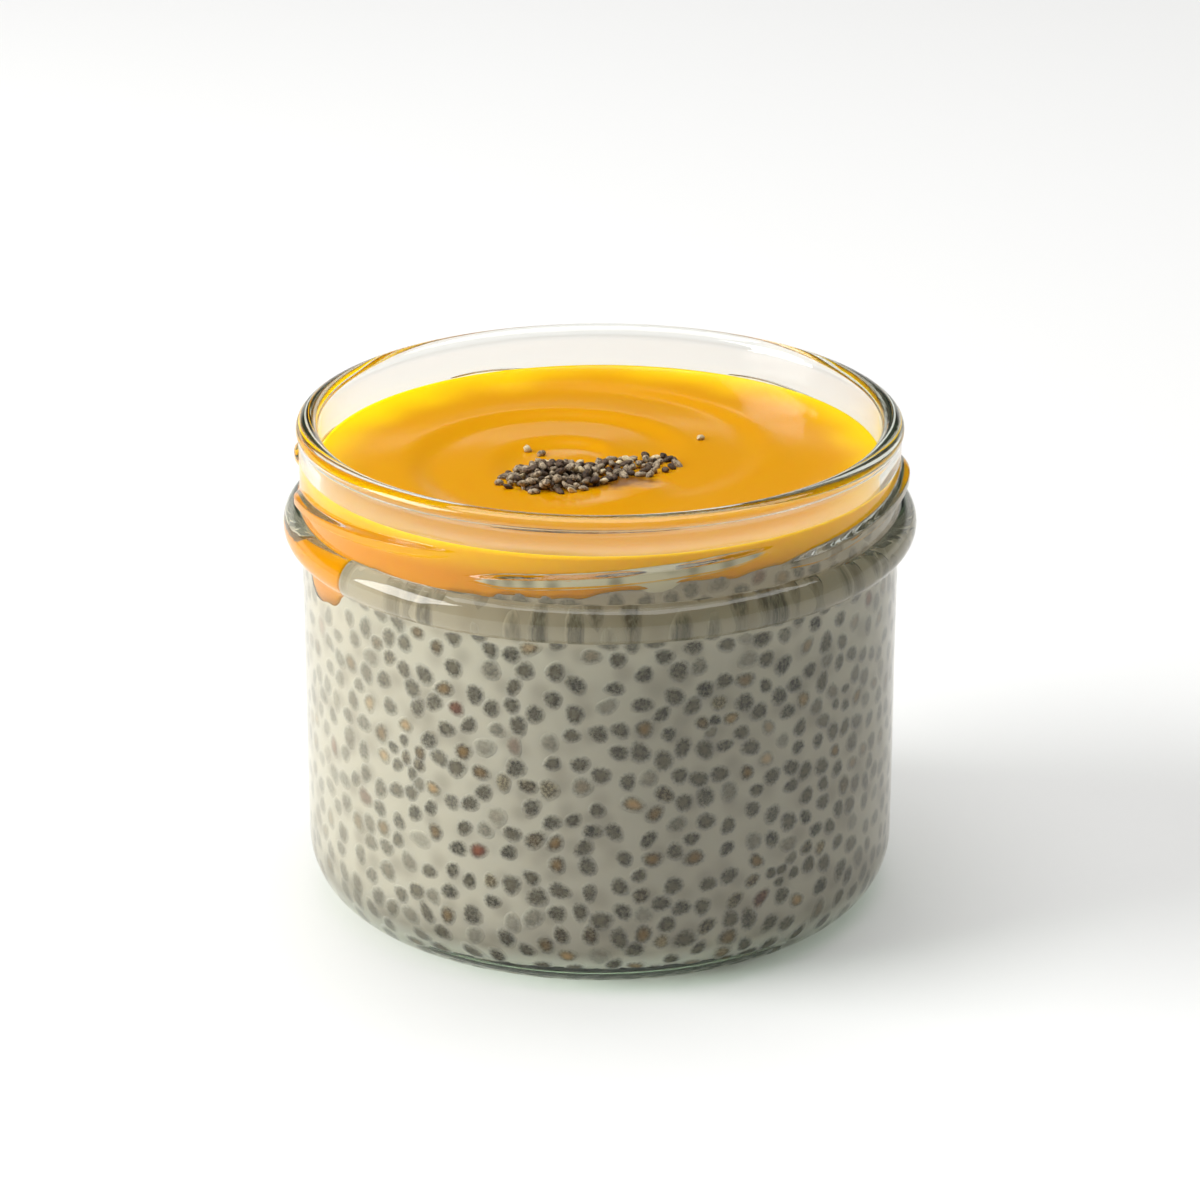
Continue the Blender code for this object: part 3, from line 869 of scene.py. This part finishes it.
def brown_patch(tree, position):
    """How far the mango turns brown in a patch at the heap's front right."""
    away = node(tree, "VectorMath", {0: position, 1: BROWN_PATCH_CENTRE}, operation="SUBTRACT")
    scaled = node(tree, "VectorMath", {0: away, 1: BROWN_PATCH_SCALE}, operation="MULTIPLY")
    distance = node(tree, "VectorMath", {0: scaled}, operation="LENGTH").outputs["Value"]
    patches = node(tree, "TexNoise", {"Vector": position, "Scale": 1 / BROWN_PATCH_MOTTLE})
    uneven = node(tree, "Math", {0: patches, 1: distance}, operation="ADD")
    fade = {0: uneven, 1: BROWN_PATCH_EDGE[0], 2: BROWN_PATCH_EDGE[1], 3: BROWN_PATCH_SHARE, 4: 0.0}
    return node(tree, "MapRange", fade, **SMOOTH).outputs[0]


def puree_finish(name, glow_front, glow_back):
    """Orange in the middle, with a painted glow of yellow light where it thins out against the glass.
    """
    material, tree = new_finish(name)
    position = node(tree, "NewGeometry").outputs["Position"]
    parts = node(tree, "SeparateXYZ", {0: position})
    flat = node(tree, "CombineXYZ", {0: parts.outputs[0], 1: parts.outputs[1]})
    radius = node(tree, "VectorMath", {0: flat}, operation="LENGTH").outputs["Value"]
    wander = node(tree, "TexNoise", {"Vector": position, "Scale": 1 / EDGE_WAVES, "Detail": 1.0})
    uneven = node(tree, "Math", {0: wander, 1: EDGE_WANDER, 2: radius}, operation="MULTIPLY_ADD")
    edge = node(tree, "MapRange", {0: uneven, 1: EDGE_BAND[0], 2: EDGE_BAND[1]}, **SMOOTH)
    back = node(tree, "MapRange", {0: parts.outputs[1], 1: BACK_BAND[0], 2: BACK_BAND[1]})
    rim = node(tree, "Mix", {0: back, 6: linear(glow_front), 7: linear(glow_back)}, **IN_COLOUR)
    # Painted light: towards the top and at the rim the puree turns to its painted yellow glow.
    up = node(tree, "MapRange", {0: parts.outputs[2], 1: SIDE_BAND[0], 2: SIDE_BAND[1]}, **SMOOTH)
    glow_colour = node(tree, "Mix", {0: up, 6: linear(MANGO_SIDE), 7: rim.outputs[2]}, **IN_COLOUR)
    brownness = brown_patch(tree, position)
    face = node(tree, "Mix", {0: brownness, 6: linear(MANGO), 7: linear(MANGO_BROWN_PATCH)}, **IN_COLOUR)
    colour = node(tree, "Mix", {0: edge, 6: face.outputs[2], 7: glow_colour.outputs[2]}, **IN_COLOUR)
    grain = node(tree, "TexNoise", {"Vector": position, "Scale": 1 / GRAIN, "Detail": 3.0})
    bump = node(tree, "Bump", {"Strength": 0.12, "Distance": GRAIN_RELIEF, "Height": grain})
    settings = {
        "Base Color": colour.outputs[2],
        "Roughness": PUREE_ROUGHNESS,
        "IOR": PUREE_IOR,
        "Subsurface Weight": PUREE_SCATTER,
        "Subsurface Radius": PUREE_REACH,
        "Subsurface Scale": PUREE_DEPTH,
        "Normal": bump,
    }
    shader = node(tree, "BsdfPrincipled", settings)
    return material, tree, shader


open_puree, tree, shader = puree_finish(
    "mango puree, sieved, open to the air", MANGO_GLOW_FRONT, MANGO_GLOW_BACK
)
node(tree, "OutputMaterial", {"Surface": shader})
side_puree, tree, shader = puree_finish(
    "mango puree, sieved, wet against glass", MANGO_SIDE_GLOW, MANGO_SIDE_GLOW
)
finish_behind_glass(tree, shader, PUREE_IOR)
print("mango", MANGO, "to", MANGO_GLOW_BACK)

# %% Work out the swirled face
MANGO_LEVEL = 56.9 * MM
MANGO_BOWL = 1.0 * MM
MENISCUS = 0.8 * MM
MENISCUS_WIDTH = 3.2 * MM
SWIRL_CENTRE = (-1.5 * MM, 3.5 * MM)
SWIRL_ARMS = 2
SWIRL_PITCH = 11.0 * MM
SWIRL_DEPTH = 0.24 * MM
SWIRL_TURN = math.radians(82)
SWIRL_DEEPEST = math.radians(110)
FOLD_START = np.array((7.6, -8.0)) * MM
FOLD_END = np.array((-4.3, -18.6)) * MM
FOLD_BOW = 0.8 * MM
FOLD_HEIGHT = 0.45 * MM
FOLD_BACK = 9.0 * MM
FOLD_FRONT = 6.0 * MM


def fold_height(x, y):
    """Low ridge along a slightly bowed line: a long slope behind it and a short one before it."""
    line = FOLD_END - FOLD_START
    length = math.hypot(*line)
    along = ((x - FOLD_START[0]) * line[0] + (y - FOLD_START[1]) * line[1]) / length**2
    across = ((y - FOLD_START[1]) * line[0] - (x - FOLD_START[0]) * line[1]) / length
    across = across - 4 * FOLD_BOW * along * (1 - along)
    rise = ease(1 + across / FOLD_BACK)
    fall = np.clip(1 - across / FOLD_FRONT, 0, 1) ** 1.5
    ends = ease((along + 0.2) / 0.4) * ease((1.3 - along) / 0.5)
    return FOLD_HEIGHT * rise * fall * ends


def swirl_height(x, y):
    """Height of the mango's face: a shallow bowl with furrows, a fold and a rim on the glass."""
    radius = np.hypot(x, y)
    bowl = MANGO_BOWL * (radius / FOOD_RADIUS) ** 2
    arm_x = x - SWIRL_CENTRE[0]
    arm_y = y - SWIRL_CENTRE[1]
    arm = np.hypot(arm_x, arm_y)
    turn = np.arctan2(arm_y, arm_x)
    phase = math.tau * arm / SWIRL_PITCH - SWIRL_ARMS * turn - SWIRL_TURN
    furrow = np.cos(phase + 0.5 * np.cos(phase))
    depth = SWIRL_DEPTH * (0.55 + 0.45 * np.cos(turn - SWIRL_DEEPEST))
    inside = ease((FOOD_RADIUS - radius) / (0.3 * FOOD_RADIUS))
    fade = inside * ease(arm / (0.4 * SWIRL_PITCH))
    meniscus = MENISCUS * np.exp((radius - FOOD_RADIUS) / MENISCUS_WIDTH)
    relief = depth * furrow * fade + inside * fold_height(x, y)
    return MANGO_LEVEL + bowl + meniscus + relief


print(f"mango face {1000 * float(swirl_height(0.0, 0.0)):.1f} mm up")

# %% Build the mango layer
UNDER_SHARES = np.array((0.2, 0.5, 0.8, 0.95, 1.0))
SIDE_ROWS = 8
FACE_ROWS = 110
LAP = 0.15 * MM
WALL_LAP = 0.04 * MM


def build_mango():
    """The mango from under the seam to its swirled face, lapped a hair over the pudding."""
    wall = BORE_RADIUS + WETTING + WALL_LAP
    face_shares = np.linspace(1, 0.01, FACE_ROWS)
    radii = np.concatenate([wall * UNDER_SHARES, np.full(SIDE_ROWS, wall), wall * face_shares])
    first_side = len(UNDER_SHARES)
    first_face = first_side + SIDE_ROWS
    grid = round_grid(radii[:, None], 0 * radii[:, None], FOOD_COLUMNS)
    under, side, face = np.split(grid, [first_side, first_face])
    under[..., 2] = seam_height(under[..., 0], under[..., 1]) - LAP
    face[..., 2] = swirl_height(face[..., 0], face[..., 1])
    share = np.linspace(0, 1, SIDE_ROWS + 2)[1:-1, None]
    side[..., 2] = under[-1, :, 2] + share * (face[0, :, 2] - under[-1, :, 2])
    middle = float(swirl_height(0.0, 0.0))
    piece = skin("mango_layer", grid, (0, 0, SEAM_LEVEL - LAP), (0, 0, middle), side_puree)
    piece.data.materials.append(open_puree)
    finishes = np.zeros(len(piece.data.polygons), int)
    finishes[first_face * FOOD_COLUMNS : (len(radii) - 1) * FOOD_COLUMNS] = 1
    finishes[-FOOD_COLUMNS:] = 1
    piece.data.polygons.foreach_set("material_index", finishes)
    return piece


mango = build_mango()
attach(mango, "root")
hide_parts("mango_puree")
print("mango faces:", len(mango.data.polygons))

# %% [markdown]
# ## Dry seeds
# Dry chia seeds are ovals with a blunt and a narrow end, up to 2 by 1.3 mm and here about 1.6 by
# 1 mm, grey-brown with a dull gloss, and a few are cream. Each is dropped onto what already lies
# there, so the heap builds up as a real pinch of seeds does, dark in the gaps.

# %% Drop the dry seeds
DRY_LENGTH = 1.6 * MM
DRY_WIDTH = 1.0 * MM
DRY_THICKNESS = 0.8 * MM
DRY_REACH = 1.0 * MM
DRY_RISE = 0.6 * MM
DRY_BEDDED = 0.3 * DRY_THICKNESS
CROWDING = 0.6
PILE_CENTRE = np.array((-5.7, -4.8)) * MM
PILE_REACH = np.array((8.0, 5.6)) * MM
PILE_TURN = math.radians(12)
PILE_HEIGHT = 2.0 * MM
TAIL_CENTRE = np.array((3.8, -0.7)) * MM
TAIL_REACH = np.array((7.2, 4.4)) * MM
TAIL_TURN = math.radians(24)
TAIL_HEIGHT = 0.25 * PILE_HEIGHT
LOOSE_SEEDS = np.array(((13.2, 10.2), (-9.4, 6.6), (-7.6, 5.0))) * MM
PILE_SEEDS = 176
TAIL_SEEDS = 42
TRIES = 7


def in_oval(draw, centre, reach, turn):
    """A random place in an oval, thinner towards its edge, and its share of the way out."""
    share = draw.random() ** CROWDING
    angle = draw.uniform(0, math.tau)
    along, across = reach * share * (math.cos(angle), math.sin(angle))
    x = centre[0] + along * math.cos(turn) - across * math.sin(turn)
    y = centre[1] + along * math.sin(turn) + across * math.cos(turn)
    return x, y, share


def resting_height(x, y, places):
    """Where a seed comes to rest: on the mango, or on the seeds under it."""
    apart = np.hypot(places[:, 0] - x, places[:, 1] - y) / DRY_REACH
    on_seeds = places[apart < 1, 2] + DRY_RISE * np.sqrt(1 - apart[apart < 1] ** 2)
    return max([float(swirl_height(x, y)) + DRY_BEDDED, *on_seeds])


def drop_seeds():
    """Each seed takes the lowest of a few places, measured against the heap's own outline."""
    draw = np.random.default_rng(21)
    loose_heights = swirl_height(*LOOSE_SEEDS.T) + DRY_BEDDED
    places = np.column_stack([LOOSE_SEEDS, loose_heights])
    areas = (
        (PILE_CENTRE, PILE_REACH, PILE_TURN, PILE_SEEDS, PILE_HEIGHT),
        (TAIL_CENTRE, TAIL_REACH, TAIL_TURN, TAIL_SEEDS, TAIL_HEIGHT),
    )
    for centre, reach, turn, count, top in areas:
        for _ in range(count):
            best = None
            for _ in range(TRIES):
                x, y, share = in_oval(draw, centre, reach, turn)
                height = resting_height(x, y, places)
                over = height - top * (1 - share**2)
                if best is None or over < best[0]:
                    best = (over, x, y, height)
            places = np.vstack([places, best[1:]])
    return places


dry_places = drop_seeds()
print("dry seeds:", len(dry_places), "heap top", round(1000 * dry_places[:, 2].max(), 2), "mm")

# %% Make the dry seeds
DRY_KINDS = {
    "taupe": (0.58, "54473a", "b8a68a"),
    "umber": (0.35, "2a1f17", "66503c"),
    "cream": (0.07, "b4a27c", "e2d2ac"),
}
MARBLING_SIZE = 0.5 * MM
MARBLING = (0.38, 0.62)
HUSK_ROUGHNESS = 0.62
HUSK_IOR = 1.4
HUSK_WRINKLES = 0.13
DRY_SPREAD = (0.72, 1.15)
DRY_ROLL = 0.9
DRY_PITCH = 0.7
DRY_ROWS = 8
DRY_COLUMNS = 12


def dry_finish(kind, dark, light):
    """Husk with fine marbling, dull gloss."""
    material, tree = new_finish(f"dry chia seed, {kind} husk")
    place = node(tree, "TexCoord").outputs["Object"]
    grain = {"Vector": place, "Scale": 1 / MARBLING_SIZE, "Detail": 4.0, "Distortion": 1.2}
    marbling = node(tree, "TexNoise", grain)
    share = node(tree, "MapRange", {0: marbling, 1: MARBLING[0], 2: MARBLING[1]})
    colour = node(tree, "Mix", {0: share, 6: linear(dark), 7: linear(light)}, **IN_COLOUR)
    husk = {"Base Color": colour.outputs[2], "Roughness": HUSK_ROUGHNESS, "IOR": HUSK_IOR}
    node(tree, "OutputMaterial", {"Surface": node(tree, "BsdfPrincipled", husk)})
    return material


def egg():
    """Points of a seed one unit long on X, one end narrower, as rows and then two poles."""
    polar = np.radians(np.linspace(0, 180, DRY_ROWS + 1))[1:-1, None]
    turn = np.arange(DRY_COLUMNS)[None, :] * math.tau / DRY_COLUMNS
    x = 0.5 * np.cos(polar) + 0 * turn
    narrow = 0.5 * np.sin(polar) * (1 - 0.45 * x)
    points = np.stack([x, narrow * np.cos(turn), narrow * np.sin(turn)], axis=2).reshape(-1, 3)
    return np.vstack([points, [[0.5, 0, 0], [-0.5, 0, 0]]])


def dry_seeds(name, places, material, draw):
    """One mesh with a dry seed at each place, tilted at random."""
    shape = egg() * (DRY_LENGTH, DRY_WIDTH, DRY_THICKNESS)
    seeds = []
    for place in places:
        size = draw.uniform(*DRY_SPREAD, 3)
        wrinkled = shape * (1 + HUSK_WRINKLES * draw.uniform(-1, 1, (len(shape), 1)))
        roll = draw.uniform(-DRY_ROLL, DRY_ROLL)
        pitch = draw.uniform(-DRY_PITCH, DRY_PITCH)
        turn = draw.uniform(0, math.tau)
        tilt = np.array(Euler((roll, pitch, turn)).to_matrix()).T
        seeds.append((wrinkled * size) @ tilt + place)
    faces = many_shells(DRY_ROWS - 1, DRY_COLUMNS, len(places))
    return mesh_object(name, np.vstack(seeds).tolist(), faces, material)


def build_dry_seeds():
    """One piece for each kind of dry seed. The loose one at the back right is cream."""
    draw = np.random.default_rng(8)
    odds = [row[0] for row in DRY_KINDS.values()]
    picks = draw.choice(len(odds), len(dry_places), p=odds)
    picks[0] = list(DRY_KINDS).index("cream")
    for index, (kind, (_, *colours)) in enumerate(DRY_KINDS.items()):
        places = dry_places[picks == index]
        piece = dry_seeds(f"dry_seeds_{kind}", places, dry_finish(kind, *colours), draw)
        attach(piece, "root")
        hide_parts("mango_puree")
        print(piece.name, len(places))


build_dry_seeds()

# %% [markdown]
# ## Floor and light
# The jar stands on a plain white table. One big soft window on the left does most of the work: it
# models the round jar from bright to shaded and lays a long highlight on the bead ring. A wide
# panel overhead keeps the table white, a pale backdrop behind gives the mango its sheen, and a
# dim room fills in the rest.

# %% Lay the floor
FLOOR_SIZE = 4.0
TABLE_WHITE = "eeeeed"
table_top, tree = new_finish("matt white table")
table_shader = node(tree, "BsdfPrincipled", {"Base Color": linear(TABLE_WHITE), "Roughness": 0.8})
node(tree, "OutputMaterial", {"Surface": table_shader})
half = FLOOR_SIZE / 2
floor_points = [(-half, -half, 0), (half, -half, 0), (half, half, 0), (-half, half, 0)]
floor = mesh_object("floor", floor_points, [(0, 1, 2, 3)], table_top)
print("floor", FLOOR_SIZE, "m")

# %% Set the lights
WINDOW_DIRECTION = Vector((-0.83, -0.13, 0.54))
WINDOW_DISTANCE = 0.9
WINDOW_SIZE = 0.5
WINDOW_POWER = 7.6
PANEL_PLACE = Vector((0.1, 0.2, 1.5))
PANEL_SIZE = (1.6, 1.6)
PANEL_POWER = 24.0


def soft_light(name, location, size, power):
    """A soft panel of light that faces the jar."""
    data = bpy.data.lights.new(name, "AREA")
    data.shape = "RECTANGLE"
    data.size, data.size_y = size
    data.energy = power
    lamp = bpy.data.objects.new(name, data)
    lamp.location = location
    lamp.rotation_euler = (CAMERA_TARGET - lamp.location).to_track_quat("-Z", "Y").to_euler()
    lamp.visible_camera = False
    bpy.context.scene.collection.objects.link(lamp)
    return lamp


window_place = CAMERA_TARGET + WINDOW_DISTANCE * WINDOW_DIRECTION.normalized()
soft_light("window", window_place, (WINDOW_SIZE, WINDOW_SIZE), WINDOW_POWER)
soft_light("overhead_panel", PANEL_PLACE, PANEL_SIZE, PANEL_POWER)
print("window power", WINDOW_POWER, "W")

# %% Set the room and its backdrop
BACKDROP_GLOW = 1.04
FRONT_GLOW = 0.09
CEILING_GLOW = 0.06
BACKDROP_TOP = math.sin(math.radians(8.0))
BACKDROP_FADE = math.sin(math.radians(17.0))
BEHIND_FROM = -0.3
BEHIND_FULL = 0.5
ROOM_WHITE = "f7f6f4"


def build_room():
    """A pale backdrop low down behind the jar, fainter in front, and a dark ceiling."""
    room = bpy.data.worlds.new("room")
    room.use_nodes = True
    tree = room.node_tree
    tree.nodes.clear()
    direction = node(tree, "SeparateXYZ", {0: node(tree, "TexCoord").outputs["Generated"]})
    sides = {0: direction.outputs[1], 1: BEHIND_FROM, 2: BEHIND_FULL, 3: FRONT_GLOW, 4: BACKDROP_GLOW}
    low = node(tree, "MapRange", sides, **SMOOTH)
    heights = {0: direction.outputs[2], 1: BACKDROP_TOP, 2: BACKDROP_FADE, 3: low, 4: CEILING_GLOW}
    strength = node(tree, "MapRange", heights, **SMOOTH)
    light = node(tree, "Background", {"Color": linear(ROOM_WHITE), "Strength": strength})
    node(tree, "OutputWorld", {"Surface": light})
    return room


bpy.context.scene.world = build_room()
bpy.context.scene.view_settings.view_transform = "Standard"
print("backdrop glow", BACKDROP_GLOW)
